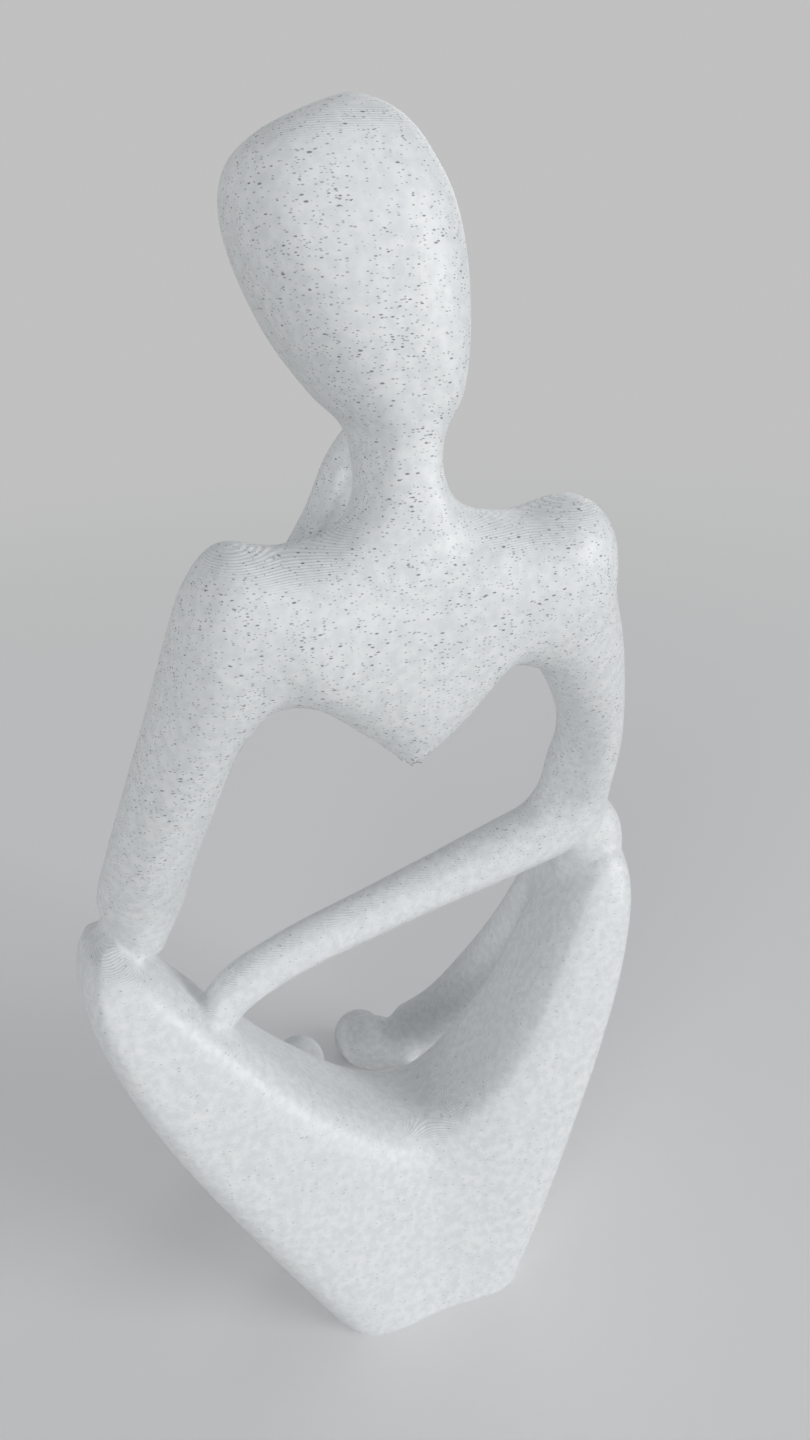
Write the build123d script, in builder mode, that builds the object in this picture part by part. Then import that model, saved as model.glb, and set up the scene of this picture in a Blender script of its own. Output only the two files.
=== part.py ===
from build123d import *
import os

# A seated figure in thought: one printed ornament, divided at its natural creases.
# Millimetres. x runs to the figure's left, y to its back and z up; the seat and the soles rest on z = 0.

# Legs
knee_height = 68.0            # top of the knees above the table
knee_span = 80.8              # over the outsides of both knees
knee_shift = 0.8              # the knees stand this far to the left
fork_shift = 4.0              # the thighs fork this far to the right of the middle
leg_reach = 62.0              # toes ahead of the seat's rear edge
seat_depth = 24.0             # front to back through the seat
hip_width = 22.0              # middle block between the cuts to the thighs
shin_width = 9.6
foot_width = 10.4
foot_height = 10.0

# Torso and arms
shoulder_height = 120.0       # shoulder line above the table
shoulder_span = 50.0          # over both upper arms at the shoulder
chest_drop = 27.0             # shoulder line down to the tip of the chest
torso_depth = 16.0
lean = 23.2                   # the shoulders stand this far behind the elbows
yoke_width = 36.0             # chest between the cuts at the shoulders
upper_arm_depth = 13.0
forearm_width = 9.8

# Head
neck_height = 8.0             # shoulder line up to the chin
head_height = 30.0
head_width = 21.5
head_depth = 23.2

# The origin lies under the middle of the figure's box, and its back reaches a little way behind the seat
middle_shift = 0.65           # the chest and the head stand this far right of the origin
back_overhang = 8.0
elbow_share = 0.35            # elbows ahead of the seat's rear edge, as a share of leg_reach
seat_rear = (leg_reach - back_overhang) / 2
elbow_y = seat_rear - elbow_share * leg_reach
shoulder_y = elbow_y + lean
chin_height = shoulder_height + neck_height

# Thighs and hips from the middle out to a knee. Two edge points of each section, the lower one first:
# shares of half knee_span, of leg_reach ahead of the seat's rear edge and of knee_height. Then its depth as
# a share of seat_depth, how square it is (2 is an ellipse) and how far its upper edge drops on the right
# side. The lowest ones are cut off where it sits
thigh_shares = [
    (0.00, 0.137, -0.294, 0.00, 0.29, 0.392, 1.00, 4.5, 0.0),
    (0.16, 0.148, -0.20, 0.087, 0.29, 0.407, 1.00, 4.5, 0.012),
    (0.297, 0.165, -0.088, 0.168, 0.29, 0.44, 1.00, 4.5, 0.024),
    (0.41, 0.185, 0.022, 0.255, 0.29, 0.487, 1.00, 4.3, 0.032),
    (0.517, 0.203, 0.14, 0.345, 0.29, 0.545, 0.967, 4.2, 0.037),
    (0.648, 0.222, 0.288, 0.445, 0.295, 0.617, 0.917, 4.0, 0.04),
    (0.787, 0.247, 0.456, 0.555, 0.303, 0.71, 0.858, 3.8, 0.036),
    (0.908, 0.274, 0.632, 0.67, 0.315, 0.807, 0.80, 3.4, 0.024),
    (0.99, 0.306, 0.794, 0.775, 0.335, 0.894, 0.75, 2.9, 0.01),
    (0.995, 0.335, 0.888, 0.84, 0.347, 0.943, 0.64, 2.5, 0.0),
    (0.957, 0.349, 0.943, 0.885, 0.354, 0.968, 0.42, 2.2, 0.0),
]
right_knee_shares = (-0.80, 0.30, 0.985, 0.95)   # its rounded top, under the elbow that stands on it
# Middle lines of the round limbs, with the width of each section as a share of the limb's own width.
# Shin: shares of half knee_span, of leg_reach and of knee_height
shin_shares = [
    (0.86, 0.42, 0.86, 0.95),
    (0.85, 0.516, 0.698, 1.05),
    (0.785, 0.61, 0.516, 1.10),
    (0.66, 0.694, 0.352, 1.14),
    (0.495, 0.768, 0.213, 1.12),
    (0.315, 0.83, 0.12, 1.03),
]
# Foot: shares of half knee_span, of leg_reach and of foot_height
foot_shares = [
    (0.36, 0.774, 0.60, 0.69),
    (0.25, 0.831, 0.55, 0.93),
    (0.161, 0.879, 0.47, 1.00),
    (0.136, 0.924, 0.44, 0.92),
]
left_foot_shift_shares = (0.052, -0.04)   # the left foot stands wider and further back than the right one

# Upper arms from the elbow up, in edge points as for the thighs: shares of the way from knee to shoulder
# across, of lean behind the elbow and of the way from knee_height to shoulder_height
left_arm_shares = [
    (0.345, -0.056, -0.058, 0.747, -0.10, -0.106, 0.77, 2.0),
    (0.247, 0.095, 0.058, 0.94, 0.052, 0.029, 0.92, 2.0),
    (0.383, 0.31, 0.225, 1.045, 0.267, 0.187, 0.97, 2.0),
    (0.623, 0.547, 0.438, 1.24, 0.49, 0.385, 1.00, 2.1),
    (0.89, 0.763, 0.66, 1.39, 0.69, 0.554, 1.045, 2.2),
    (1.065, 0.90, 0.813, 1.526, 0.784, 0.627, 1.075, 2.3),
]
right_arm_shares = [
    (0.40, 0.27, 0.15, 1.00, 0.28, 0.23, 0.82, 2.0),
    (0.44, 0.42, 0.31, 1.02, 0.41, 0.325, 0.82, 2.0),
    (0.58, 0.59, 0.485, 1.105, 0.56, 0.42, 0.86, 2.0),
    (0.79, 0.77, 0.67, 1.26, 0.71, 0.525, 0.95, 2.1),
    (1.01, 0.90, 0.83, 1.43, 0.81, 0.60, 1.06, 2.2),
]
# Chest from the left armpit to the right one, upper edge first: shares of half shoulder_span, of lean
# behind the shoulder line and of chest_drop below it
chest_shares = [
    (0.872, -0.05, 0.152, 0.60, -0.177, 0.667, 0.91, 2.3),
    (0.724, -0.02, 0.01, 0.512, -0.142, 0.655, 0.95, 2.3),
    (0.488, 0.0, 0.048, 0.396, -0.125, 0.685, 0.99, 2.3),
    (0.26, 0.0, 0.0, 0.22, -0.142, 0.833, 1.00, 2.3),
    (0.0, 0.0, -0.037, 0.0, -0.15, 0.99, 1.00, 2.3),
    (-0.26, 0.0, -0.03, -0.208, -0.142, 0.867, 1.00, 2.3),
    (-0.51, 0.0, 0.03, -0.40, -0.116, 0.65, 0.98, 2.3),
    (-0.785, -0.01, -0.015, -0.52, -0.09, 0.65, 0.94, 2.3),
    (-0.935, -0.043, 0.09, -0.645, -0.116, 0.705, 0.90, 2.3),
]
# Left forearm and hand, from the elbow on the knee up to the chin: shares of half knee_span, of lean
# behind the elbow and of the way from knee_height to the chin
left_forearm_shares = [
    (0.80, -0.078, -0.04, 0.90),
    (0.67, -0.085, 0.13, 1.00),
    (0.52, -0.045, 0.30, 0.985),
    (0.38, 0.02, 0.47, 0.93),
    (0.215, 0.10, 0.64, 0.88),
    (0.066, 0.185, 0.79, 0.85),
    (-0.045, 0.285, 0.90, 0.90),
    (-0.078, 0.375, 0.97, 0.72),
    (-0.09, 0.43, 1.04, 0.45),
]
left_wrist_share = 0.78       # where the hand begins, of the way from knee_height to the chin
# Right forearm and hand, from the elbow on the knee across to the left thigh, in edge points, the outer or
# lower one first: shares as for the thighs, with the depth as a share of forearm_width
right_forearm_shares = [
    (-0.865, 0.280, 1.035, -0.625, 0.280, 1.100, 1.00, 2.0),
    (-0.765, 0.290, 0.955, -0.575, 0.292, 1.055, 0.98, 2.0),
    (-0.590, 0.297, 0.920, -0.482, 0.297, 1.033, 0.93, 2.0),
    (-0.413, 0.302, 0.893, -0.345, 0.302, 1.006, 0.85, 2.0),
    (-0.247, 0.302, 0.873, -0.200, 0.302, 0.980, 0.78, 2.0),
    (-0.088, 0.297, 0.856, -0.050, 0.297, 0.958, 0.73, 2.0),
    (0.070, 0.290, 0.839, 0.103, 0.290, 0.937, 0.69, 2.0),
    (0.217, 0.282, 0.824, 0.255, 0.282, 0.918, 0.67, 2.0),
    (0.355, 0.274, 0.804, 0.405, 0.274, 0.893, 0.66, 2.0),
    (0.500, 0.262, 0.770, 0.562, 0.262, 0.856, 0.68, 2.0),
    (0.600, 0.250, 0.710, 0.685, 0.250, 0.785, 0.72, 2.0),
]
right_wrist_share = 0.31      # where the hand begins, out from the middle, of half knee_span

# Neck and head in level sections: left edge and right edge in shares of half head_width, then the middle,
# ahead of the shoulders, and the depth in shares of head_depth. Heights are shares of neck_height above
# the shoulders for the neck and of head_height above the chin for the head
neck_shares = [
    (0.885, -0.885, 0.0, 0.39, -1.25),
    (0.885, -0.885, 0.0, 0.45, -0.50),
    (0.65, -0.67, 0.013, 0.48, -0.06),
    (0.40, -0.475, 0.047, 0.50, 0.31),
    (0.31, -0.41, 0.117, 0.57, 0.69),
]
head_shares = [
    (0.30, -0.50, 0.22, 0.74, 0.027),
    (0.555, -0.71, 0.272, 0.88, 0.133),
    (0.895, -0.81, 0.298, 0.975, 0.317),
    (1.14, -0.815, 0.315, 1.00, 0.533),
    (1.215, -0.73, 0.323, 0.957, 0.70),
    (1.12, -0.57, 0.323, 0.845, 0.82),
    (0.86, -0.42, 0.323, 0.69, 0.90),
    (0.51, -0.25, 0.323, 0.48, 0.953),
    (0.20, -0.08, 0.323, 0.21, 0.987),
    (0.09, -0.02, 0.323, 0.08, 0.997),
]
head_squareness = 2.5
knuckle_share = 1.04          # round joints swell this much over the limb that ends in them


def mix(start, end, share):
    """The value a share of the way from start to end."""
    return start + (end - start) * share


def leg_point(x_share, y_share, z_share):
    """A point of the legs, from the middle, the seat's rear edge and the table."""
    return x_share * knee_span / 2 - middle_shift, seat_rear - y_share * leg_reach, z_share * knee_height


def knee_point(side, x_share, y_share, z_share, fork=0):
    """A point of a thigh or shin: knees stand to the left, and a thigh's upper edge forks to the right."""
    reach, back, rise = leg_point(side * x_share, y_share, z_share)
    return reach + z_share * knee_shift - (1 - z_share) * fork, back, rise


def arm_point(side, x_share, y_share, z_share):
    """A point between the knee and the shoulder of one side."""
    reach = mix(knee_span / 2, shoulder_span / 2, x_share)
    return side * reach - middle_shift, elbow_y + y_share * lean, mix(knee_height, shoulder_height, z_share)


def chest_point(x_share, y_share, z_share):
    """A point of the chest, from the middle of the shoulder line."""
    height = shoulder_height - z_share * chest_drop
    return x_share * shoulder_span / 2 - middle_shift, shoulder_y + y_share * lean, height


def fair(rows, steps=2):
    """The rows with more between them, on Catmull-Rom curves through each column of numbers."""
    last = len(rows) - 1
    finer = []
    for i in range(last):
        near = [rows[min(max(i + k, 0), last)] for k in (-1, 0, 1, 2)]
        for k in range(steps):
            t = k / steps
            finer.append(
                [
                    b + t * ((c - a) / 2 + t * (a - (5 * b - 4 * c + d) / 2 + t * (3 * (b - c) + d - a) / 2))
                    for a, b, c, d in zip(*near)
                ]
            )
    return finer + [rows[last]]


def superellipse(width, depth, squareness, count=16):
    """A closed curve that is an ellipse at squareness 2 and boxier above it, evenly knotted."""
    points = []
    for i in range(count):
        turn = Vector(1, 0).rotate(Axis.Z, 360 * i / count)
        reach = (abs(turn.X) ** squareness + abs(turn.Y) ** squareness) ** (-1 / squareness)
        points.append((turn.X * reach * width / 2, turn.Y * reach * depth / 2))
    return Edge.make_spline(points, periodic=True, parameters=[i / count for i in range(count + 1)])


def section_on(plane, width, depth, squareness):
    """A superellipse on a plane, width along the plane's x."""
    with BuildSketch(plane) as section:
        with BuildLine():
            add(superellipse(width, depth, squareness))
        make_face()
    return section.sketch


def edge_sections(rows):
    """Sections that each span two edge points and are as deep as given: two points, depth, squareness."""
    sections = []
    for row in rows:
        first, second = Vector(*row[:3]), Vector(*row[3:6])
        span = second - first
        plane = Plane(origin=first + span / 2, x_dir=span, z_dir=span.cross(Vector(0, 1, 0)))
        sections.append(section_on(plane, span.length, row[6], row[7]))
    return sections


def round_sections(rows):
    """Round sections square to a middle line: a point of it, then the width."""
    rows = fair(rows)
    middles = [Vector(*row[:3]) for row in rows]
    sections = []
    for i, (middle, row) in enumerate(zip(middles, rows)):
        ahead = middles[min(i + 1, len(middles) - 1)] - middles[max(i - 1, 0)]
        with BuildSketch(Plane(origin=middle, x_dir=ahead.cross(Vector(0, 1, 0)), z_dir=ahead)) as section:
            Circle(row[3] / 2)
        sections.append(section.sketch)
    return sections


def ball(row):
    """A round joint at a point of a limb, a little wider than the limb there."""
    with BuildPart(Plane(origin=row[:3])) as joint:
        Sphere(row[3] / 2 * knuckle_share)
    return joint.part


def level_sections(rows):
    """Level sections: x of the left and right edges, y of the middle, depth and height."""
    return [
        section_on(Plane(origin=((left + right) / 2, y, z)), left - right, depth, head_squareness)
        for left, right, y, depth, z in fair(rows)
    ]


# Both thighs and the hips are one sweep from knee to knee, cut flat where the figure sits
thigh_rows = [
    [
        (
            *knee_point(side, *lower),
            *knee_point(side, reach, back, rise - drop * (side < 0), fork_shift),
            depth * seat_depth,
            squareness,
        )
        for *lower, reach, back, rise, depth, squareness, drop in thigh_shares
    ]
    for side in (1, -1)
]
with BuildPart() as apron:
    add(edge_sections(fair(thigh_rows[1][:0:-1] + thigh_rows[0])))
    loft()
    split(bisect_by=Plane.XY, keep=Keep.TOP)

# Chest, both upper arms and the right forearm with its hand are one sweep, divided at the right elbow
arm_rows = [
    [(*arm_point(side, *row[:3]), *arm_point(side, *row[3:6]), row[6] * upper_arm_depth, row[7])
     for row in shares]
    for side, shares in ((1, left_arm_shares), (-1, right_arm_shares))
]
chest_rows = [
    (*chest_point(*row[:3]), *chest_point(*row[3:6]), row[6] * torso_depth, row[7]) for row in chest_shares
]
right_reach_rows = [
    (*leg_point(*row[:3]), *leg_point(*row[3:6]), row[6] * forearm_width, row[7])
    for row in right_forearm_shares
]
over_rows = arm_rows[0] + chest_rows + arm_rows[1][::-1]
arm_sections = edge_sections(fair(over_rows + right_reach_rows))
right_elbow = len(over_rows) * 2
with BuildPart() as arch:
    loft(arm_sections[: right_elbow + 1])
with BuildPart() as right_reach:
    loft(arm_sections[right_elbow:])

# Neck and head are one sweep from inside the chest to the crown
egg_rows = [
    (
        left * head_width / 2 - middle_shift,
        right * head_width / 2 - middle_shift,
        shoulder_y - ahead * head_depth,
        depth * head_depth,
        foot + rise * length,
    )
    for shares, foot, length in (
        (neck_shares, shoulder_height, neck_height),
        (head_shares, chin_height, head_height),
    )
    for left, right, ahead, depth, rise in shares
]
with BuildPart() as egg:
    add(level_sections(egg_rows))
    loft()

# The left forearm and its hand are one sweep
left_reach_rows = [
    (leg_point(x, 0, 0)[0], elbow_y + y * lean, mix(knee_height, chin_height, z), width * forearm_width)
    for x, y, z, width in left_forearm_shares
]
with BuildPart() as left_reach:
    add(round_sections(left_reach_rows))
    loft()
    add(ball(left_reach_rows[0]))

# The middle block with the seat
with BuildPart() as hips:
    add(apron.part)
    split(bisect_by=Plane.YZ.offset(hip_width / 2), keep=Keep.BOTTOM)
    split(bisect_by=Plane.YZ.offset(-hip_width / 2), keep=Keep.TOP)
pieces = {"hips": hips.part}

# Thighs, shins, feet and upper arms, one of each to a side. Every piece stops at the one before it
for name, side in (("left", 1), ("right", -1)):
    outward = Keep.TOP if side > 0 else Keep.BOTTOM
    with BuildPart() as thigh:
        add(apron.part)
        split(bisect_by=Plane.YZ.offset(side * hip_width / 2), keep=outward)
        if side < 0:
            add(ball((*leg_point(*right_knee_shares[:3]), right_knee_shares[3] * forearm_width)))
    shin_rows = [(*knee_point(side, x, y, z), width * shin_width) for x, y, z, width in shin_shares]
    with BuildPart() as shin:
        add(round_sections(shin_rows))
        loft()
        add(ball(shin_rows[0]))
        add(thigh.part, mode=Mode.SUBTRACT)
    x_shift, y_shift = left_foot_shift_shares if side > 0 else (0, 0)
    foot_rows = [
        (*knee_point(side, x + x_shift, y + y_shift, z * foot_height / knee_height), width * foot_width)
        for x, y, z, width in foot_shares
    ]
    with BuildPart() as foot:
        add(round_sections(foot_rows))
        loft()
        add(ball(foot_rows[-1]))
        add(shin.part, mode=Mode.SUBTRACT)
        split(bisect_by=Plane.XY, keep=Keep.TOP)
    with BuildPart() as upper_arm:
        add(arch.part)
        split(bisect_by=Plane.YZ.offset(side * yoke_width / 2), keep=outward)
        add([thigh.part, shin.part], mode=Mode.SUBTRACT)
    pieces[f"{name}_thigh"] = thigh.part
    pieces[f"{name}_shin"] = shin.part
    pieces[f"{name}_foot"] = foot.part
    pieces[f"{name}_upper_arm"] = upper_arm.part

with BuildPart() as chest:
    add(arch.part)
    split(bisect_by=Plane.YZ.offset(yoke_width / 2), keep=Keep.BOTTOM)
    split(bisect_by=Plane.YZ.offset(-yoke_width / 2), keep=Keep.TOP)
pieces["chest"] = chest.part

with BuildPart() as neck:
    add(egg.part)
    split(bisect_by=Plane.XY.offset(chin_height), keep=Keep.BOTTOM)
    add(chest.part, mode=Mode.SUBTRACT)
pieces["neck"] = neck.part

with BuildPart() as head:
    add(egg.part)
    split(bisect_by=Plane.XY.offset(chin_height), keep=Keep.TOP)
pieces["head"] = head.part

left_wrist = Plane.XY.offset(mix(knee_height, chin_height, left_wrist_share))
with BuildPart() as left_forearm:
    add(left_reach.part)
    split(bisect_by=left_wrist, keep=Keep.BOTTOM)
    add([pieces["left_thigh"], pieces["left_shin"], pieces["left_upper_arm"]], mode=Mode.SUBTRACT)
pieces["left_forearm"] = left_forearm.part

with BuildPart() as left_hand:
    add(left_reach.part)
    split(bisect_by=left_wrist, keep=Keep.TOP)
    add([neck.part, head.part], mode=Mode.SUBTRACT)
pieces["left_hand"] = left_hand.part

right_wrist = Plane.YZ.offset(right_wrist_share * knee_span / 2)
with BuildPart() as right_forearm:
    add(right_reach.part)
    split(bisect_by=right_wrist, keep=Keep.BOTTOM)
    add([pieces["right_thigh"], pieces["right_shin"], pieces["right_upper_arm"]], mode=Mode.SUBTRACT)
pieces["right_forearm"] = right_forearm.part

with BuildPart() as right_hand:
    add(right_reach.part)
    split(bisect_by=right_wrist, keep=Keep.TOP)
    add(pieces["left_thigh"], mode=Mode.SUBTRACT)
pieces["right_hand"] = right_hand.part

os.makedirs("parts", exist_ok=True)
for name, piece in pieces.items():
    piece.label = name
    export_step(piece, f"parts/{name}.step")
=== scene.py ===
"""A seated thinker printed in speckled white plastic: one smooth skin, parted into the model's pieces."""

import math

import bpy
import numpy as np
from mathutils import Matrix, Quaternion, Vector


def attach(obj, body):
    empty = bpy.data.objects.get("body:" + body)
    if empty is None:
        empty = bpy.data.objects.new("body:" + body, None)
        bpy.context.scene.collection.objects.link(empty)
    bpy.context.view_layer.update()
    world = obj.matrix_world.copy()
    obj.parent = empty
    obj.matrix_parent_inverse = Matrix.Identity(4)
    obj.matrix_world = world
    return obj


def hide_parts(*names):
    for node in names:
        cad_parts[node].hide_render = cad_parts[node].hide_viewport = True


# Metres. x runs to the figure's left, y to its back and z up; the seat and the soles rest on z = 0
KNEE_HEIGHT = 0.068
KNEE_SPAN = 0.0808
KNEE_SHIFT = 0.0008
FORK_SHIFT = 0.004
MIDDLE_SHIFT = 0.00065
LEG_REACH = 0.062
SEAT_DEPTH = 0.024
HIP_WIDTH = 0.022
SHIN_WIDTH = 0.0096
FOOT_WIDTH = 0.0104
FOOT_HEIGHT = 0.010
SHOULDER_HEIGHT = 0.120
SHOULDER_SPAN = 0.050
CHEST_DROP = 0.027
TORSO_DEPTH = 0.016
LEAN = 0.0232
YOKE_WIDTH = 0.036
UPPER_ARM_DEPTH = 0.013
FOREARM_WIDTH = 0.0098
NECK_HEIGHT = 0.008
HEAD_HEIGHT = 0.030
HEAD_WIDTH = 0.0215
HEAD_DEPTH = 0.0232
HEAD_SQUARENESS = 2.5
HEAD_RIDGE_SQUARENESS = 3.1
KNUCKLE_SHARE = 1.04
BACK_OVERHANG = 0.008
ELBOW_SHARE = 0.35
LEFT_WRIST_SHARE = 0.78
RIGHT_WRIST_SHARE = 0.31
SEAT_REAR = (LEG_REACH - BACK_OVERHANG) / 2
ELBOW_Y = SEAT_REAR - ELBOW_SHARE * LEG_REACH
SHOULDER_Y = ELBOW_Y + LEAN
CHIN_HEIGHT = SHOULDER_HEIGHT + NECK_HEIGHT
LEFT_WRIST_HEIGHT = KNEE_HEIGHT + LEFT_WRIST_SHARE * (CHIN_HEIGHT - KNEE_HEIGHT)
RIGHT_WRIST_X = RIGHT_WRIST_SHARE * KNEE_SPAN / 2

# The skin: points around a limb, rows to each gap of a table, the grain of the joined skin
AROUND = 96
TURN = np.linspace(0, 2 * math.pi, AROUND, endpoint=False)
STEPS = 12
GRAIN = 0.0004
# A ball's first ring is this far from its pole, in radians
POLE_GAP = 0.02
# Enough rounds for a step that doubles each time to get round any rim
RIM_ROUNDS = 20
# Keeps a triangle that has no area from a division by zero
TINY = 1e-18

# Easing: the share of the way that each pass goes, and the passes for the borders between the forms, for
# the wide belts along them, for the grain and for the melted creases
EASE = 0.5
BORDER_PASSES = 8
BELT_PASSES = 90
GRAIN_PASSES = 5
MELT_PASSES = 240

# The print's layer height
LAYER = 0.0002

# Sections from one edge point to the other, then depth and squareness, in shares of the sizes above. The
# thighs and the right forearm have their lower edge first, the arms their outer and the chest its upper one
# A thigh's last share is how far its upper edge drops on the right side
THIGH = [
    (0.00, 0.137, -0.294, 0.00, 0.29, 0.392, 1.00, 4.5, 0.0),
    (0.16, 0.148, -0.20, 0.087, 0.29, 0.407, 1.00, 4.5, 0.012),
    (0.297, 0.165, -0.088, 0.168, 0.29, 0.44, 1.00, 4.5, 0.024),
    (0.41, 0.185, 0.022, 0.255, 0.29, 0.487, 1.00, 4.3, 0.032),
    (0.517, 0.203, 0.14, 0.345, 0.29, 0.545, 0.967, 4.2, 0.037),
    (0.648, 0.222, 0.288, 0.445, 0.295, 0.617, 0.917, 4.0, 0.04),
    (0.787, 0.247, 0.456, 0.555, 0.303, 0.71, 0.858, 4.0, 0.036),
    (0.908, 0.274, 0.632, 0.67, 0.315, 0.807, 0.80, 3.9, 0.024),
    (0.986, 0.306, 0.794, 0.775, 0.335, 0.894, 0.75, 3.5, 0.01),
    (0.99, 0.335, 0.888, 0.84, 0.347, 0.943, 0.64, 2.9, 0.0),
    (0.957, 0.349, 0.943, 0.885, 0.354, 0.968, 0.42, 2.2, 0.0),
]
LEFT_ARM = [
    (0.345, 0.0, -0.07, 0.70, -0.045, -0.108, 0.85, 2.0),
    (0.247, 0.095, 0.058, 0.94, 0.052, 0.029, 0.92, 2.0),
    (0.383, 0.31, 0.225, 1.045, 0.267, 0.187, 0.97, 2.0),
    (0.623, 0.547, 0.438, 1.24, 0.49, 0.385, 1.00, 2.1),
    (0.89, 0.763, 0.66, 1.39, 0.69, 0.554, 1.045, 2.2),
    (1.065, 0.90, 0.813, 1.526, 0.784, 0.627, 1.075, 2.3),
]
RIGHT_ARM = [
    (0.40, 0.27, 0.15, 0.945, 0.28, 0.23, 0.82, 2.0),
    (0.44, 0.42, 0.31, 0.975, 0.41, 0.325, 0.82, 2.0),
    (0.58, 0.59, 0.485, 1.095, 0.56, 0.42, 0.86, 2.0),
    (0.79, 0.77, 0.67, 1.285, 0.71, 0.52, 0.95, 2.1),
    (1.01, 0.90, 0.83, 1.46, 0.81, 0.60, 1.06, 2.2),
]
CHEST = [
    (0.872, -0.05, 0.152, 0.60, -0.177, 0.667, 0.91, 2.3),
    (0.724, -0.02, 0.01, 0.512, -0.142, 0.655, 0.95, 2.3),
    (0.488, 0.0, 0.048, 0.396, -0.125, 0.685, 0.99, 2.3),
    (0.26, 0.0, 0.0, 0.22, -0.142, 0.833, 1.00, 2.3),
    (0.0, 0.0, -0.037, 0.0, -0.15, 0.99, 1.00, 2.3),
    (-0.26, 0.0, -0.03, -0.208, -0.142, 0.867, 1.00, 2.3),
    (-0.51, 0.0, 0.03, -0.40, -0.116, 0.65, 0.98, 2.3),
    (-0.785, -0.01, -0.015, -0.52, -0.09, 0.65, 0.94, 2.3),
    (-0.935, -0.043, 0.09, -0.645, -0.116, 0.705, 0.90, 2.3),
]
# Round limbs: a point of the middle line, then the width
SHIN = [
    (0.86, 0.42, 0.86, 0.95),
    (0.85, 0.516, 0.698, 1.05),
    (0.785, 0.61, 0.516, 1.10),
    (0.66, 0.694, 0.345, 1.10),
    (0.495, 0.768, 0.20, 1.02),
    (0.315, 0.83, 0.112, 0.95),
]
FOOT = [
    (0.36, 0.774, 0.60, 0.69),
    (0.25, 0.831, 0.55, 0.93),
    (0.161, 0.879, 0.47, 1.00),
    (0.136, 0.924, 0.44, 0.92),
]
LEFT_FOOT_SHIFT = (0.052, -0.04)
# The right knee runs on up to the elbow
RIGHT_KNEE = [
    (-0.845, 0.34, 0.85, 1.10),
    (-0.85, 0.325, 0.915, 1.10),
    (-0.838, 0.31, 0.975, 0.98),
    (-0.815, 0.30, 1.02, 0.72),
]
LEFT_FOREARM = [
    (0.80, -0.078, -0.04, 0.90),
    (0.68, -0.085, 0.13, 1.00),
    (0.545, -0.045, 0.30, 0.96),
    (0.39, 0.02, 0.47, 0.90),
    (0.20, 0.10, 0.64, 0.86),
    (0.052, 0.185, 0.79, 0.86),
    (-0.022, 0.285, 0.90, 0.90),
    (-0.055, 0.375, 0.97, 0.72),
    (-0.083, 0.43, 1.04, 0.45),
]
RIGHT_FOREARM = [
    (-0.865, 0.280, 1.035, -0.625, 0.280, 1.100, 1.00, 2.0),
    (-0.765, 0.290, 0.955, -0.575, 0.292, 1.055, 0.98, 2.0),
    (-0.590, 0.297, 0.920, -0.482, 0.297, 1.033, 0.93, 2.0),
    (-0.413, 0.302, 0.893, -0.345, 0.302, 1.006, 0.85, 2.0),
    (-0.247, 0.302, 0.873, -0.200, 0.302, 0.980, 0.78, 2.0),
    (-0.088, 0.297, 0.856, -0.050, 0.297, 0.958, 0.73, 2.0),
    (0.070, 0.290, 0.839, 0.103, 0.290, 0.937, 0.69, 2.0),
    (0.217, 0.282, 0.824, 0.255, 0.282, 0.918, 0.67, 2.0),
    (0.355, 0.274, 0.804, 0.405, 0.274, 0.893, 0.66, 2.0),
    (0.500, 0.262, 0.770, 0.562, 0.262, 0.856, 0.68, 2.0),
    (0.600, 0.250, 0.710, 0.685, 0.250, 0.785, 0.72, 2.0),
]
# Level sections: left edge, right edge, middle ahead of the shoulders, depth and height
NECK = [
    (0.885, -0.885, 0.0, 0.39, -1.25),
    (0.885, -0.885, 0.0, 0.45, -0.50),
    (0.65, -0.67, 0.013, 0.48, -0.06),
    (0.40, -0.475, 0.047, 0.50, 0.31),
    (0.31, -0.41, 0.117, 0.57, 0.69),
]
HEAD = [
    (0.30, -0.50, 0.22, 0.74, 0.027),
    (0.555, -0.71, 0.272, 0.88, 0.133),
    (0.895, -0.81, 0.298, 0.975, 0.317),
    (1.14, -0.815, 0.315, 1.00, 0.533),
    (1.215, -0.73, 0.323, 0.957, 0.70),
    (1.12, -0.57, 0.323, 0.845, 0.82),
    (0.86, -0.42, 0.323, 0.69, 0.90),
    (0.51, -0.25, 0.323, 0.48, 0.953),
    (0.20, -0.08, 0.323, 0.21, 0.987),
    (0.09, -0.02, 0.323, 0.08, 0.997),
]
# A trough beside the middle line of the raised forearm: where it starts, is deep, begins to fade and ends,
# in shares of the rise from knee to chin
TROUGH = (0.66, 0.72, 0.92, 0.99)
TROUGH_SHIFT = 0.0016
TROUGH_DEPTH = 0.0019
TROUGH_WIDTH = 0.0014
# The rough spot that printing left on the chest's point, with its waves in radians to a metre
TIP_SIZE = 0.0018
TIP_DROP = 0.0006
TIP_SLANTING_WAVE = (6000, 3000)
TIP_CROSSING_WAVE = 4000
TIP_CROSSING_START = 1


# Limbs as surfaces of two parameters: the way along the limb and the turn around it


def unit(vectors):
    """Each vector divided by its length."""
    return vectors / np.linalg.norm(vectors, axis=-1, keepdims=True)


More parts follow.
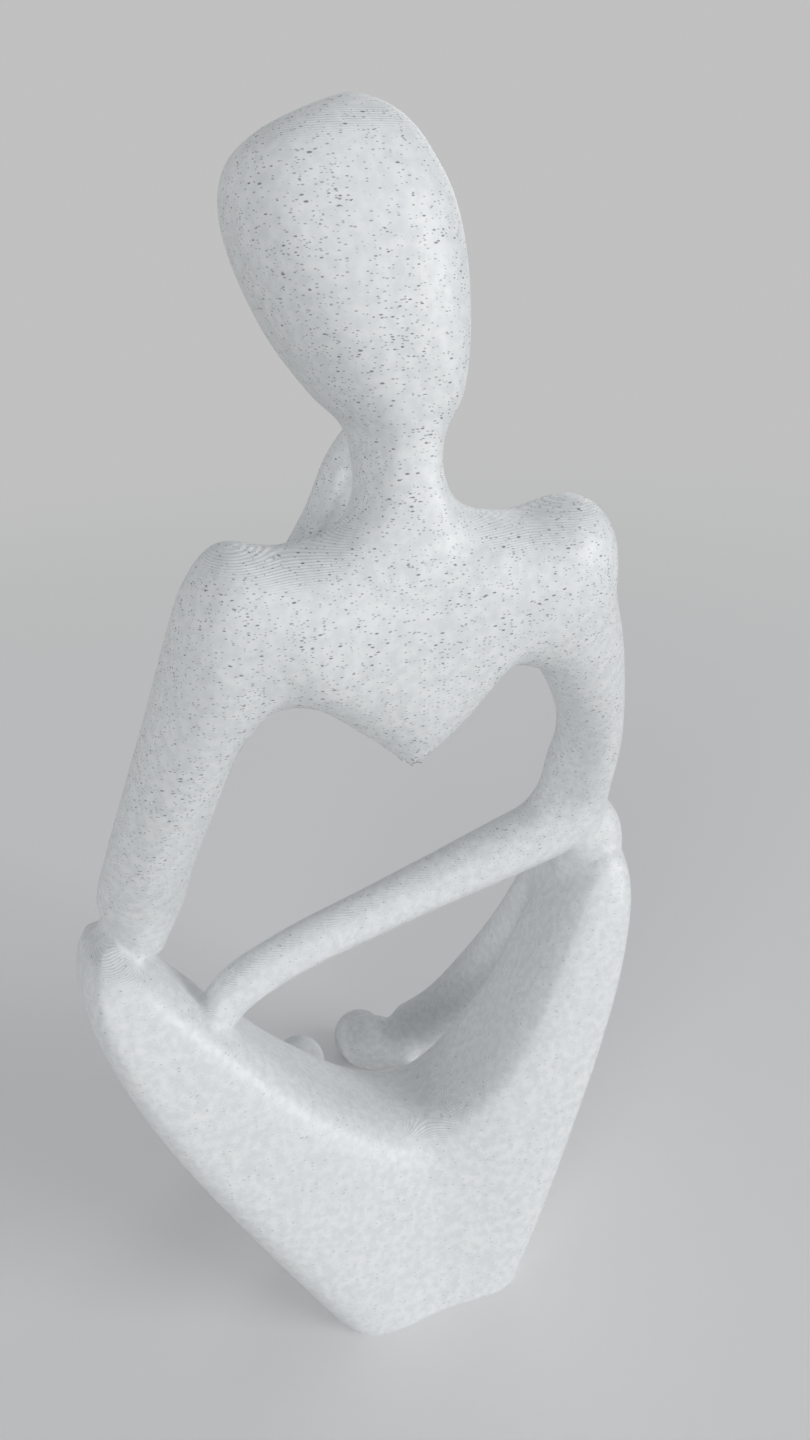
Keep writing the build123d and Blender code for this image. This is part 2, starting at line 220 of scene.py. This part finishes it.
def fair(rows):
    """More rows between the given ones: b + t((c - a) + t(2a - 5b + 4c - d + t(3b - 3c + d - a))) / 2, the
    Catmull-Rom cubic through each column's neighbours a, b, c, d."""
    rows = np.asarray(rows, float)
    ends = np.vstack([rows[:1], rows, rows[-1:]])
    a, b, c, d = (ends[i : len(rows) - 1 + i, None] for i in range(4))
    t = np.linspace(0, 1, STEPS, endpoint=False)[None, :, None]
    finer = b + t * ((c - a) + t * (2 * a - 5 * b + 4 * c - d + t * (3 * b - 3 * c + d - a))) / 2
    return np.vstack([finer.reshape(-1, rows.shape[1]), rows[-1:]])


def swept(middle, across, deep, n=2.0):
    """Middle + across · x + deep · y, where x and y run round the curve |x|^n + |y|^n = 1 of squareness n:
    one number, one to each row or one to each turn."""
    reach = (np.abs(np.cos(TURN)) ** n + np.abs(np.sin(TURN)) ** n) ** (-1 / n)
    x, y = reach * np.cos(TURN), reach * np.sin(TURN)
    return middle[:, None] + across[:, None] * x[..., None] + deep[:, None] * y[..., None]


def edge_sweep(rows):
    """Sections that each span two edge points; their depth runs along y, squared to the span."""
    rows = fair(rows)
    first, second = rows[:, :3], rows[:, 3:6]
    along = unit(second - first)
    back = unit(np.array([0, 1, 0]) - along[:, 1:2] * along)
    return swept((first + second) / 2, (second - first) / 2, back * rows[:, 6:7] / 2, rows[:, 7:8])


def round_sweep(rows):
    """Circles square to the middle line's own direction."""
    rows = fair(rows)
    ahead = unit(np.gradient(rows[:, :3], axis=0))
    across = unit(np.cross(ahead, [0, 1, 0]))
    half = rows[:, 3:4] / 2
    return swept(rows[:, :3], across * half, np.cross(ahead, across) * half)


def level_sweep(rows):
    """Level superellipses from left to right edge, with a ridge where the back turns to the right side."""
    left, right, y, depth, z = fair(rows).T
    flat = np.zeros_like(left)
    middle = np.stack([(left + right) / 2, y, z], 1)
    across, deep = np.stack([(left - right) / 2, flat, flat], 1), np.stack([flat, depth / 2, flat], 1)
    ridge = (np.cos(TURN) < 0) & (np.sin(TURN) > 0)
    return swept(middle, across, deep, np.where(ridge, HEAD_RIDGE_SQUARENESS, HEAD_SQUARENESS))


def ball(row):
    """A sphere at a limb's end: rings of radius r sin(tilt) at height r cos(tilt)."""
    left, back, up = np.eye(3)
    tilt = np.linspace(POLE_GAP, math.pi - POLE_GAP, AROUND // 2)[:, None]
    radius = row[3] * KNUCKLE_SHARE / 2
    ring = radius * np.sin(tilt)
    return swept(np.asarray(row[:3]) + radius * np.cos(tilt) * up, ring * left, ring * back)


def leg_point(x, y, z):
    """A point of the legs, from the middle, the seat's rear edge and the table."""
    return x * KNEE_SPAN / 2 - MIDDLE_SHIFT, SEAT_REAR - y * LEG_REACH, z * KNEE_HEIGHT


def knee_point(side, x, y, z, fork=0):
    """A point of a thigh or shin: the knees stand to the left, a thigh's upper edge forks to the right."""
    reach, back, rise = leg_point(side * x, y, z)
    return reach + z * KNEE_SHIFT - (1 - z) * fork, back, rise


def arm_point(side, x, y, z):
    """A point between the knee and the shoulder of one side."""
    reach = KNEE_SPAN / 2 + x * (SHOULDER_SPAN - KNEE_SPAN) / 2
    return side * reach - MIDDLE_SHIFT, ELBOW_Y + y * LEAN, KNEE_HEIGHT + z * (SHOULDER_HEIGHT - KNEE_HEIGHT)


def chest_point(x, y, z):
    """A point of the chest, from the middle of the shoulder line."""
    return x * SHOULDER_SPAN / 2 - MIDDLE_SHIFT, SHOULDER_Y + y * LEAN, SHOULDER_HEIGHT - z * CHEST_DROP


def thigh_rows(side):
    """Rows of one thigh, from the middle out."""
    rows = []
    for *outer, reach, back, rise, depth, squareness, drop in THIGH:
        upper = knee_point(side, reach, back, rise - drop * (side < 0), FORK_SHIFT)
        rows.append((*knee_point(side, *outer), *upper, depth * SEAT_DEPTH, squareness))
    return rows


def arm_rows(side, table):
    """Rows of one upper arm, from the elbow up."""
    return [
        (*arm_point(side, *r[:3]), *arm_point(side, *r[3:6]), r[6] * UPPER_ARM_DEPTH, r[7]) for r in table
    ]


def leg_rows(table, width, side, shift=(0, 0), height=KNEE_HEIGHT):
    """Rows of a shin or a foot in shares of the legs' sizes."""
    rise = height / KNEE_HEIGHT
    return [
        (*knee_point(side, x + side * shift[0], y + shift[1], z * rise), share * width)
        for x, y, z, share in table
    ]


def limbs():
    """Every swept surface of the figure, each with the name of its form or of the form of each row."""
    over = arm_rows(1, LEFT_ARM) + [
        (*chest_point(*r[:3]), *chest_point(*r[3:6]), r[6] * TORSO_DEPTH, r[7]) for r in CHEST
    ]
    over += arm_rows(-1, RIGHT_ARM)[::-1]
    forearm = [
        (*leg_point(*r[:3]), *leg_point(*r[3:6]), r[6] * FOREARM_WIDTH, r[7]) for r in RIGHT_FOREARM
    ]
    arms = edge_sweep(over + forearm)
    egg = [
        (
            left * HEAD_WIDTH / 2 - MIDDLE_SHIFT,
            right * HEAD_WIDTH / 2 - MIDDLE_SHIFT,
            SHOULDER_Y - ahead * HEAD_DEPTH,
            depth * HEAD_DEPTH,
            foot + rise * length,
        )
        for table, foot, length in ((NECK, SHOULDER_HEIGHT, NECK_HEIGHT), (HEAD, CHIN_HEIGHT, HEAD_HEIGHT))
        for left, right, ahead, depth, rise in table
    ]
    reach = [
        (
            leg_point(x, 0, 0)[0],
            ELBOW_Y + y * LEAN,
            KNEE_HEIGHT + z * (CHIN_HEIGHT - KNEE_HEIGHT),
            width * FOREARM_WIDTH,
        )
        for x, y, z, width in LEFT_FOREARM
    ]
    knee = [(*leg_point(*r[:3]), r[3] * FOREARM_WIDTH) for r in RIGHT_KNEE]
    surfaces = [
        (edge_sweep(thigh_rows(-1)[:0:-1] + thigh_rows(1)), "apron"),
        (round_sweep(knee), "apron"),
        (ball(knee[-1]), "apron"),
        (arms, np.where(np.arange(len(arms)) < len(over) * STEPS, "arch", "right_reach")),
        (level_sweep(egg), "egg"),
        (round_sweep(reach), "left_reach"),
        (ball(reach[0]), "left_reach"),
    ]
    for name, side, shift in (("left", 1, LEFT_FOOT_SHIFT), ("right", -1, (0, 0))):
        shin = leg_rows(SHIN, SHIN_WIDTH, side)
        foot = leg_rows(FOOT, FOOT_WIDTH, side, shift, FOOT_HEIGHT)
        surfaces += [(round_sweep(shin), f"{name}_shin"), (ball(shin[0]), f"{name}_shin")]
        surfaces += [(round_sweep(foot), f"{name}_foot"), (ball(foot[-1]), f"{name}_foot")]
    return surfaces


# One skin over all of them

# The forms, with those that share one sweep next to each other
FORMS = [
    "apron", "arch", "right_reach", "egg", "left_reach", "left_shin", "right_shin", "left_foot", "right_foot"
]


def grid_mesh(grid):
    """Points and triangles of a closed tube: the grid's quads in two, and a fan at each end."""
    rows, around = grid.shape[:2]
    i, j = np.meshgrid(np.arange(rows - 1), np.arange(around), indexing="ij")
    a, b = i * around + j, i * around + (j + 1) % around
    quads = np.stack([a, b, b + around, a, b + around, a + around], -1).reshape(-1, 3)
    turn = np.arange(around)
    last = (rows - 1) * around
    start, end = rows * around, rows * around + 1
    fans = [
        np.stack([(turn + 1) % around, turn, np.full(around, start)], 1),
        np.stack([last + turn, last + (turn + 1) % around, np.full(around, end)], 1),
    ]
    points = np.vstack([grid.reshape(-1, 3), grid[0].mean(0), grid[-1].mean(0)])
    return points, np.vstack([quads, *fans])


def joined_skin():
    """The limbs joined by a voxel remesh: points, triangles and the number of each point's own form."""
    points, faces, owners, count = [], [], [], 0
    for grid, form in limbs():
        p, f = grid_mesh(grid)
        number = np.array([FORMS.index(name) for name in np.broadcast_to(form, len(grid))])
        points.append(p)
        faces.append(f + count)
        owners.append(np.hstack([np.repeat(number, AROUND), number[[0, -1]]]))
        count += len(p)
    mesh = bpy.data.meshes.new("skin")
    mesh.from_pydata(np.vstack(points).tolist(), [], np.vstack(faces).tolist())
    mark = mesh.attributes.new("owner", "FLOAT", "POINT")
    mark.data.foreach_set("value", np.hstack(owners).astype(np.float32))
    body = bpy.data.objects.new("skin", mesh)
    bpy.context.scene.collection.objects.link(body)
    bpy.context.view_layer.objects.active = body
    body.select_set(True)
    mesh.remesh_voxel_size = GRAIN
    mesh.use_remesh_preserve_attributes = True
    bpy.ops.object.voxel_remesh()
    mesh = body.data
    points = np.zeros(len(mesh.vertices) * 3)
    mesh.vertices.foreach_get("co", points)
    owner = np.zeros(len(mesh.vertices))
    mesh.attributes["owner"].data.foreach_get("value", owner)
    mesh.calc_loop_triangles()
    faces = np.zeros(len(mesh.loop_triangles) * 3, int)
    mesh.loop_triangles.foreach_get("vertices", faces)
    bpy.data.objects.remove(body)
    return points.reshape(-1, 3), faces.reshape(-1, 3), np.rint(owner).astype(int)


def unlike(pairs):
    """Each pair of point numbers once, and where each given pair is among them."""
    base = pairs.max() + 1
    keys, place = np.unique(pairs[:, 0] * base + pairs[:, 1], return_inverse=True)
    return np.stack([keys // base, keys % base], 1), place


def edges_of(faces):
    """Each edge once, as two point numbers."""
    pairs = np.sort(np.vstack([faces[:, [0, 1]], faces[:, [1, 2]], faces[:, [2, 0]]]), axis=1)
    return unlike(pairs)[0]


def eased(values, edges, share, passes):
    """Each pass moves every value a share of the way to the mean of its neighbours."""
    first, second = edges.T
    count = np.maximum(np.bincount(edges.ravel(), minlength=len(values)), 1)[:, None]
    for _ in range(passes):
        total = np.stack(
            [
                np.bincount(first, column[second], len(values))
                + np.bincount(second, column[first], len(values))
                for column in values.T
            ],
            1,
        )
        values = values + share * (total / count - values)
    return values


def point_normals(points, faces):
    """The sum of the face normals around each point, by their areas, at length 1."""
    a, b, c = (points[faces[:, k]] for k in range(3))
    normals = np.cross(b - a, c - a)
    total = [sum(np.bincount(faces[:, k], column, len(points)) for k in range(3)) for column in normals.T]
    return unit(np.stack(total, 1))


def trough(points, normals):
    """How deep the raised forearm's trough is: a bell curve beside its middle line, on its back."""
    x, z = points[:, 0], points[:, 2]
    rise = CHIN_HEIGHT - KNEE_HEIGHT
    line = [leg_point(row[0], 0, 0)[0] for row in LEFT_FOREARM]
    middle = np.interp(z, [KNEE_HEIGHT + row[2] * rise for row in LEFT_FOREARM], line)
    along = np.interp((z - KNEE_HEIGHT) / rise, TROUGH, (0, 1, 1, 0))
    bell = np.exp(-(((x - middle - TROUGH_SHIFT) / TROUGH_WIDTH) ** 2))
    return TROUGH_DEPTH * along * bell * (normals[:, 1] > 0)


def tip_roughness(points):
    """How far the chest's point hangs down: crossed sine waves under a bell curve across the point."""
    x, y, z = points.T
    tip_x, _, tip_z = chest_point(*CHEST[len(CHEST) // 2][3:6])
    slanting = np.sin(TIP_SLANTING_WAVE[0] * x + TIP_SLANTING_WAVE[1] * y)
    waves = 1 + slanting * np.sin(TIP_CROSSING_WAVE * y + TIP_CROSSING_START)
    return TIP_DROP * waves * np.exp(-((x - tip_x) ** 2 + (z - tip_z) ** 2) / TIP_SIZE**2)


# Parting the skin. A skin is a table with a row to each point (place, normal, share of each form), its
# triangles, and a flag on those that close it

# The column of the first form's share
FIRST_SHARE = 6


def cut(table, faces, flat, level):
    """The skin with each triangle that the level's zero line crosses parted along it."""
    above = level[faces] > 0
    crossed = above.any(1) & ~above.all(1)
    lone = above[crossed] == (above[crossed].sum(1) == 1)[:, None]
    turn = np.argmax(lone, axis=1)[:, None]
    a, b, c = np.take_along_axis(faces[crossed], (turn + np.arange(3)) % 3, 1).T
    pairs = np.sort(np.vstack([np.stack([a, b], 1), np.stack([a, c], 1)]), axis=1)
    edges, place = unlike(pairs)
    share = (level[edges[:, 0]] / (level[edges[:, 0]] - level[edges[:, 1]]))[:, None]
    fresh = table[edges[:, 0]] * (1 - share) + table[edges[:, 1]] * share
    ab, ac = len(table) + place.reshape(2, -1)
    parts = [np.stack(corners, 1) for corners in ((a, ab, ac), (ab, b, c), (ab, c, ac))]
    table, faces = np.vstack([table, fresh]), np.vstack([faces[~crossed], *parts])
    return table, faces, np.hstack([flat[~crossed], *[flat[crossed]] * len(parts)])


def closed(table, faces, flat):
    """The skin with a flat fan over each open rim: a triangle from each open edge to the rim's middle."""
    used, faces = np.unique(faces, return_inverse=True)
    table, faces = table[used], faces.reshape(-1, 3)
    sides = np.vstack([faces[:, [0, 1]], faces[:, [1, 2]], faces[:, [2, 0]]])
    key, back = sides[:, 0] * len(table) + sides[:, 1], sides[:, 1] * len(table) + sides[:, 0]
    rim = sides[~np.isin(key, back)]
    if not len(rim):
        return table, faces, flat
    # Every rim point knows the next one; as the step doubles, the least number spreads round its rim
    step, leader = np.arange(len(table)), np.arange(len(table))
    step[rim[:, 0]] = rim[:, 1]
    for _ in range(RIM_ROUNDS):
        leader = np.minimum(leader, leader[step])
        step = step[step]
    _, number = np.unique(leader[rim[:, 0]], return_inverse=True)
    count = np.bincount(number)[:, None]
    middles = np.stack([np.bincount(number, column) for column in table[rim[:, 0]].T], 1) / count
    fans = np.stack([rim[:, 1], rim[:, 0], len(table) + number], 1)
    return np.vstack([table, middles]), np.vstack([faces, fans]), np.hstack([flat, np.full(len(fans), True)])


def kept(table, faces, flat, chosen):
    """The chosen triangles of a skin, closed."""
    return closed(table, faces[chosen], flat[chosen])


def piece(name, table, faces, flat):
    """A mesh object of a closed skin, shaded by the skin's own normals and flat where it was cut."""
    mesh = bpy.data.meshes.new(name)
    mesh.from_pydata(table[:, :3].tolist(), [], faces.tolist())
    mesh.shade_smooth()
    corners = table[faces, :3]
    facets = unit(np.cross(corners[:, 1] - corners[:, 0], corners[:, 2] - corners[:, 0]) + TINY)
    normals = np.where(flat[:, None, None], facets[:, None], unit(table[faces, 3:6]))
    mesh.normals_split_custom_set(normals.reshape(-1, 3).tolist())
    body = bpy.data.objects.new(name, mesh)
    bpy.context.scene.collection.objects.link(body)
    return body


# Which forms melt together, how strongly, and where: 1 on the left side, -1 on the right and 0 on both
MELTS = (
    ("egg", "arch", 1.0, 0),
    ("apron", "right_reach", 0.5, -1),
    ("apron", "right_reach", 0.04, 1),
    ("arch", "right_reach", 0.15, 0),
    ("apron", "arch", 0.04, -1),
    ("apron", "arch", 0.15, 1),
    ("apron", "left_reach", 0.3, 0),
    ("apron", "right_shin", 0.7, 0),
    ("apron", "left_shin", 0.4, 0),
    ("right_shin", "right_foot", 0.5, 0),
    ("left_shin", "left_foot", 0.5, 0),
    ("egg", "left_reach", 0.03, 0),
)
# How steeply the melting rises towards a border, and below what it is left out
MELT_RISE = 5
MELT_LEAST = 0.004

# The model's upright cuts through apron, chest and right wrist, and its level ones at chin and left wrist
CUTS = (
    (0, HIP_WIDTH / 2),
    (0, -HIP_WIDTH / 2),
    (0, YOKE_WIDTH / 2),
    (0, -YOKE_WIDTH / 2),
    (0, RIGHT_WRIST_X),
    (2, CHIN_HEIGHT),
    (2, LEFT_WRIST_HEIGHT),
)


def melting(belts, x):
    """How far the skin melts at each point: two forms' wide shares multiplied, times the pair's strength."""
    melt = np.zeros(len(x))
    for first, second, strength, side in MELTS:
        meeting = np.clip(MELT_RISE * belts[first] * belts[second], 0, 1)
        melt = np.maximum(melt, meeting * strength * ((side == 0) | (x * side > 0)))
    melt[melt < MELT_LEAST] = 0
    return melt


def blended_skin():
    """The skin's table and triangles: eased, melted where limbs run together, with its trough and tip."""
    points, faces, owner = joined_skin()
    edges = edges_of(faces)
    shares = eased(np.eye(len(FORMS))[owner], edges, EASE, BORDER_PASSES)
    belts = dict(zip(FORMS, eased(shares, edges, EASE, BELT_PASSES).T))
    points = eased(points, edges, EASE, GRAIN_PASSES)
    melt = melting(belts, points[:, 0])
    points = eased(points, edges[(melt[edges] > 0).any(1)], EASE * melt[:, None], MELT_PASSES)
    normals = point_normals(points, faces)
    points[:, 2] -= tip_roughness(points)
    points[:, 1] -= trough(points, normals) * (owner == FORMS.index("left_reach"))
    return np.hstack([points, point_normals(points, faces), shares]), faces


def figure_pieces():
    """The blended skin with its flat rest, parted into the model's nodes."""
    table, faces = blended_skin()
    table, faces, flat = cut(table, faces, np.full(len(faces), False), table[:, 2])
    table, faces, flat = kept(table, faces, flat, table[faces, 2].mean(1) > 0)
    for k in range(len(FORMS)):
        own = table[:, FIRST_SHARE + k]
        others = np.delete(table[:, FIRST_SHARE:], k, axis=1).max(1)
        table, faces, flat = cut(table, faces, flat, own - others)
    for axis, place in CUTS:
        table, faces, flat = cut(table, faces, flat, table[:, axis] - place)
    x, _, z = table[faces, :3].mean(1).T
    form = np.array(FORMS)[table[faces, FIRST_SHARE:].mean(1).argmax(1)]
    choices = {
        "hips": (form == "apron") & (np.abs(x) < HIP_WIDTH / 2),
        "left_thigh": (form == "apron") & (x > HIP_WIDTH / 2),
        "right_thigh": (form == "apron") & (x < -HIP_WIDTH / 2),
        "chest": (form == "arch") & (np.abs(x) < YOKE_WIDTH / 2),
        "left_upper_arm": (form == "arch") & (x > YOKE_WIDTH / 2),
        "right_upper_arm": (form == "arch") & (x < -YOKE_WIDTH / 2),
        "neck": (form == "egg") & (z < CHIN_HEIGHT),
        "head": (form == "egg") & (z > CHIN_HEIGHT),
        "left_forearm": (form == "left_reach") & (z < LEFT_WRIST_HEIGHT),
        "left_hand": (form == "left_reach") & (z > LEFT_WRIST_HEIGHT),
        "right_forearm": (form == "right_reach") & (x < RIGHT_WRIST_X),
        "right_hand": (form == "right_reach") & (x > RIGHT_WRIST_X),
        **{name: form == name for name in ("left_shin", "right_shin", "left_foot", "right_foot")},
    }
    return {
        name: piece(f"{name}_skin", *kept(table, faces, flat, chosen)) for name, chosen in choices.items()
    }


# Finish


class Signal:
    """A shader socket that takes part in sums: each sign adds its Math node."""

    def __init__(self, tree, socket=None):
        self.tree, self.socket = tree, socket

    def node(self, kind, sockets=(), output=0, **settings):
        """Adds a node: its settings first, then the values or links of its sockets."""
        node = self.tree.nodes.new(kind)
        for name, value in settings.items():
            setattr(node, name, value)
        for name, value in dict(sockets).items():
            if isinstance(value, Signal):
                self.tree.links.new(value.socket, node.inputs[name])
            else:
                node.inputs[name].default_value = value
        return Signal(self.tree, node.outputs[output] if node.outputs else None)

    def math(self, operation, *values):
        """One Math node."""
        return self.node("ShaderNodeMath", enumerate(values), operation=operation)

    def __add__(self, other):
        return self.math("ADD", self, other)

    __radd__ = __add__

    def __sub__(self, other):
        return self.math("SUBTRACT", self, other)

    def __rsub__(self, other):
        return self.math("SUBTRACT", other, self)

    def __mul__(self, other):
        return self.math("MULTIPLY", self, other)

    __rmul__ = __mul__

    def __truediv__(self, other):
        return self.math("DIVIDE", self, other)

    def __gt__(self, other):
        return self.math("GREATER_THAN", self, other)

    def mix(self, share, first, second):
        """A share of the way from one colour to another."""
        return self.node("ShaderNodeMix", {0: share, 6: first, 7: second}, output=2, data_type="RGBA")

    def step(self, low, high):
        """0 on the side of low, 1 on the side of high and smooth between them, whichever is the greater."""
        return self.node(
            "ShaderNodeMapRange",
            {"Value": self, "From Min": low, "From Max": high},
            interpolation_type="SMOOTHSTEP",
        )


def blank_material(name):
    """A material with nothing but its output, and a signal to build on."""
    material = bpy.data.materials.new(name)
    material.use_nodes = True
    material.node_tree.nodes.clear()
    return material, Signal(material.node_tree)


# The white, from its darker to its lighter grain, and the tint of its blotches
DULL_WHITE = (0.71, 0.735, 0.745, 1)
LIGHT_WHITE = (0.81, 0.825, 0.83, 1)
BLOTCH_WHITE = (0.76, 0.78, 0.81, 1)
BLOTCH_STRENGTH = 0.25
# Waves to a metre of the grain, the blotches and the crowding of the specks
GRAIN_SCALE = 900.0
BLOTCH_SCALE = 120.0
CROWD_SCALE = 230.0
# Fine specks and coarse ones: the distance between the pattern's points, a speck's size, the least share of
# the cells with one and what crowding adds, the noise levels where they crowd, their strength low down and
# their colour
SPECKS = (
    (0.0005, 0.000155, 0.4, 0.3, (0.35, 0.65), 0.15, (0.2, 0.215, 0.235, 1)),
    (0.00095, 0.00021, 0.2, 0.25, (0.4, 0.6), 0.3, (0.125, 0.13, 0.15, 1)),
)
# How much wider than high a speck is, its least girth and what chance adds to it, in shares of its size, and
# the edge across which it fades, in shares of its girth
SPECK_FLATNESS = 2.5
SPECK_GIRTH = 0.45
SPECK_SPREAD = 0.75
SPECK_EDGE = (1.15, 0.7)
# Between these heights the specks grow bolder, by this much
BOLD_HEIGHTS = (0.055, 0.09)
BOLDNESS = 0.5
# Layer marks show where the surface faces up by more than this
LAYER_SLOPES = (0.45, 0.8)


def specks(signal, place, spacing, size, share):
    """Dark dots, wider than high: what is nearer than size to a point of a cell pattern, in the given share
    of the pattern's cells."""
    stretch = {0: place, 1: (1, 1, SPECK_FLATNESS)}
    stretched = signal.node("ShaderNodeVectorMath", stretch, operation="MULTIPLY")
    sockets = {"Vector": stretched, "Scale": 1 / spacing, "Randomness": 1.0}
    near = signal.node("ShaderNodeTexVoronoi", sockets, output="Distance")
    colour = signal.node("ShaderNodeTexVoronoi", sockets, output="Color")
    pick = signal.node("ShaderNodeSeparateColor", {0: colour}, output=0)
    girth = signal.node("ShaderNodeSeparateColor", {0: colour}, output=1)
    reach = size / spacing * (SPECK_GIRTH + SPECK_SPREAD * girth)
    return (near / reach).step(*SPECK_EDGE) * (pick > 1 - share)


def marble_print():
    """Cool white satin plastic with clusters of dark specks, faint blotches and the marks of its layers."""
    material, signal = blank_material("marble_print")
    place = signal.node("ShaderNodeTexCoord", output="Object")
    height = signal.node("ShaderNodeSeparateXYZ", {0: place}, output=2)
    facing = signal.node("ShaderNodeNewGeometry", output="Normal")
    slope = signal.node("ShaderNodeSeparateXYZ", {0: facing}, output=2)
    grain = signal.node("ShaderNodeTexNoise", {"Vector": place, "Scale": GRAIN_SCALE, "Detail": 2.0})
    blotches = signal.node("ShaderNodeTexNoise", {"Vector": place, "Scale": BLOTCH_SCALE, "Detail": 2.0})
    crowd = signal.node("ShaderNodeTexNoise", {"Vector": place, "Scale": CROWD_SCALE, "Detail": 1.0})
    colour = signal.mix(grain.step(0.3, 0.7), DULL_WHITE, LIGHT_WHITE)
    colour = signal.mix(BLOTCH_STRENGTH * blotches.step(0.4, 0.7), colour, BLOTCH_WHITE)
    bold = BOLDNESS * height.step(*BOLD_HEIGHTS)
    for spacing, size, least, more, crowding, strength, dark in SPECKS:
        dots = specks(signal, place, spacing, size, least + more * crowd.step(*crowding))
        colour = signal.mix((strength + bold) * dots, colour, dark)
    layers = signal.math("SINE", height * (2 * math.pi / LAYER)) * slope.step(*LAYER_SLOPES)
    marks = signal.node("ShaderNodeBump", {"Height": layers, "Strength": 0.5, "Distance": LAYER / 5})
    sockets = {"Base Color": colour, "Roughness": 0.42, "IOR": 1.46, "Normal": marks}
    shader = signal.node("ShaderNodeBsdfPrincipled", sockets)
    signal.node("ShaderNodeOutputMaterial", {"Surface": shader})
    return material


# Floor, light and camera

FLOOR_REACH = 60.0
FLOOR_COLOUR = (0.71, 0.705, 0.695)
# The floor is a little lighter to the camera than to the figure, and far away it is one even tone
SHOWN_FLOOR = (0.95, 0.95, 0.945)
BACKDROP_COLOUR = (0.525, 0.53, 0.525)
BACKDROP_DISTANCES = (0.1, 0.8)
SKY_COLOUR = (0.95, 0.975, 1.0)
SKY_STRENGTH = 0.35
LAMP_SIZE = 1.4
LAMP_TARGET = (0, 0, 0.08)
# Each lamp's place and power
LAMPS = {
    "key": ((-2.1, 1.9, 0.55), 47.0),
    "fill": ((1.8, 2.0, 0.4), 27.0),
    "front": ((-1.4, -1.8, 1.0), 6.0),
}
# The camera's place, the point that it looks at and its roll in degrees
CAMERA_PLACE = (0.031757, 0.122335, 0.143)
CAMERA_AIM = (-0.01621, -0.02034, 0.07543)
CAMERA_ROLL = -3.3


def lamp(name, place, power):
    """A square soft light that points at the figure."""
    light = bpy.data.lights.new(name, "AREA")
    light.size, light.energy = LAMP_SIZE, power
    body = bpy.data.objects.new(name, light)
    body.location = place
    body.rotation_euler = (Vector(LAMP_TARGET) - Vector(place)).to_track_quat("-Z", "Y").to_euler()
    bpy.context.scene.collection.objects.link(body)


def seen_ray(signal):
    """1 for rays that show what is behind: the camera's own, and those mirrored or let through to it."""
    kinds = [
        signal.node("ShaderNodeLightPath", output=kind)
        for kind in ("Is Camera Ray", "Is Glossy Ray", "Is Transmission Ray")
    ]
    return signal.math("MINIMUM", kinds[0] + kinds[1] + kinds[2], 1.0)


def pale_floor():
    """Matte, and fading into the even backdrop with the distance from the figure."""
    material, signal = blank_material("pale_floor")
    place = signal.node("ShaderNodeTexCoord", output="Object")
    distance = signal.node("ShaderNodeVectorMath", {0: place}, output="Value", operation="LENGTH")
    shown = seen_ray(signal)
    colour = signal.mix(shown, (*FLOOR_COLOUR, 1), (*SHOWN_FLOOR, 1))
    near = signal.node("ShaderNodeBsdfDiffuse", {"Color": colour})
    far = signal.node("ShaderNodeEmission", {"Color": (*BACKDROP_COLOUR, 1), "Strength": 1.0})
    faded = shown * distance.step(*BACKDROP_DISTANCES)
    shader = signal.node("ShaderNodeMixShader", {0: faded, 1: near, 2: far})
    signal.node("ShaderNodeOutputMaterial", {"Surface": shader})
    return material


def sky():
    """A soft light from all sides that looks like the backdrop to the camera."""
    world = bpy.data.worlds.new("sky")
    bpy.context.scene.world = world
    world.use_nodes = True
    world.node_tree.nodes.clear()
    signal = Signal(world.node_tree)
    light = signal.node("ShaderNodeBackground", {"Color": (*SKY_COLOUR, 1), "Strength": SKY_STRENGTH})
    backdrop = signal.node("ShaderNodeBackground", {"Color": (*BACKDROP_COLOUR, 1), "Strength": 1.0})
    shader = signal.node("ShaderNodeMixShader", {0: seen_ray(signal), 1: light, 2: backdrop})
    signal.node("ShaderNodeOutputWorld", {"Surface": shader})


def studio():
    """A wide square floor under the sky and three large lamps."""
    corners = [(x * FLOOR_REACH, y * FLOOR_REACH, 0) for x, y in ((-1, -1), (1, -1), (1, 1), (-1, 1))]
    mesh = bpy.data.meshes.new("floor")
    mesh.from_pydata(corners, [], [(0, 1, 2, 3)])
    mesh.materials.append(pale_floor())
    floor = bpy.data.objects.new("floor", mesh)
    bpy.context.scene.collection.objects.link(floor)
    sky()
    for name, (place, power) in LAMPS.items():
        lamp(name, place, power)


def camera():
    """The photograph's view: from behind, a little from the figure's left and above."""
    lens = bpy.data.cameras.new("camera")
    lens.lens, lens.sensor_width, lens.sensor_fit = 25.0, 36.0, "AUTO"
    lens.clip_start, lens.clip_end = 0.01, 20.0
    body = bpy.data.objects.new("camera", lens)
    roll = Quaternion((0, 0, 1), math.radians(CAMERA_ROLL))
    body.rotation_mode = "QUATERNION"
    body.rotation_quaternion = (Vector(CAMERA_AIM) - Vector(CAMERA_PLACE)).to_track_quat("-Z", "Y") @ roll
    body.location = CAMERA_PLACE
    bpy.context.scene.collection.objects.link(body)
    bpy.context.scene.camera = body


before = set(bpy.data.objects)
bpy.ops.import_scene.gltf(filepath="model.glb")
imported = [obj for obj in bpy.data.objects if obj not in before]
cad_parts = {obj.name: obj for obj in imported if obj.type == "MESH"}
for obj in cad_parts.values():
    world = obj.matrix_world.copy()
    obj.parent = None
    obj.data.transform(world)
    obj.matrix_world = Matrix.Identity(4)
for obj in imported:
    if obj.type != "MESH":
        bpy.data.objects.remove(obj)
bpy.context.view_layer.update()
finish = marble_print()
for node, body in figure_pieces().items():
    body.data.materials.append(finish)
    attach(body, "root")
    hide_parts(node)
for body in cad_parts.values():
    body.data.materials.clear()
    body.data.materials.append(finish)
studio()
camera()
bpy.context.scene.view_settings.view_transform = "Standard"
